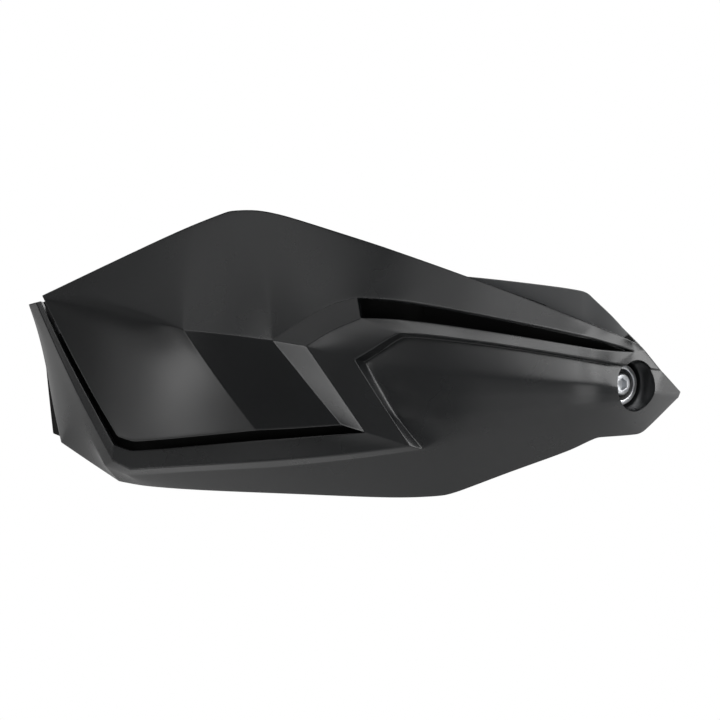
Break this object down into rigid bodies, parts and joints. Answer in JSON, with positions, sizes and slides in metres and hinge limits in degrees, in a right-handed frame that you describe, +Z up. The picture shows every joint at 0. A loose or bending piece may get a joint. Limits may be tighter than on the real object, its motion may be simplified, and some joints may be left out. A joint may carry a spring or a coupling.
{
  "type": "motorcycle hand guard",
  "caption": "Curved black moulded hand guard with a raised peaked panel, vent slots and a rear wind deflector, held by a bar-end expander bolt and an inboard bar clamp with a bracket arm.",
  "frame": {"origin": "on the handlebar's axis at the bar's outboard end face, where the spacer meets it", "axes": "+X along the bar, outboard; -Y to the front of the motorcycle; +Z up"},
  "size_m": [0.2949, 0.1974, 0.1382],
  "materials": {
    "shell_plastic": "fine satin grain",
    "deflector_plastic": "fine satin grain",
    "frame_plastic": "matt",
    "bolt_steel": "turned steel",
    "zinc_steel": "zinc plated",
    "cup_metal": "turned",
    "ring_rubber": "matt",
    "spacer_aluminium": "turned",
    "expander_rubber": "matt",
    "nut_brass": "turned",
    "clamp_coated": "black powder coat",
    "screw_black": "black oxide"
  },
  "bodies": {
    "root": {"main_shell": "shell_plastic", "shell_nose": "shell_plastic", "wind_deflector": "deflector_plastic", "inner_frame": "frame_plastic", "bar_end_bolt": "bolt_steel", "cup_washer": "cup_metal", "cup_ring": "ring_rubber", "bar_end_sleeve": "zinc_steel", "bar_end_spacer": "spacer_aluminium", "expander_washer": "zinc_steel", "expander_rubber": "expander_rubber", "expander_nut": "nut_brass", "clamp_base": "clamp_coated", "clamp_cap": "clamp_coated", "bracket_arm": "clamp_coated", "clamp_bolt_upper": "bolt_steel", "clamp_bolt_lower": "bolt_steel", "clamp_nut_upper": "zinc_steel", "clamp_nut_lower": "zinc_steel", "pivot_bolt": "zinc_steel", "pivot_washer": "zinc_steel", "pivot_nut": "zinc_steel", "flange_bolt_outboard": "bolt_steel", "flange_bolt_inboard": "bolt_steel", "flange_nut_outboard": "zinc_steel", "flange_nut_inboard": "zinc_steel", "frame_screw_1": "screw_black", "frame_screw_2": "screw_black", "frame_screw_3": "screw_black", "frame_screw_4": "screw_black", "frame_screw_5": "screw_black", "frame_screw_6": "screw_black", "deflector_screw_1": "screw_black", "deflector_screw_2": "screw_black", "deflector_screw_3": "screw_black"}
  },
  "joints": []
}
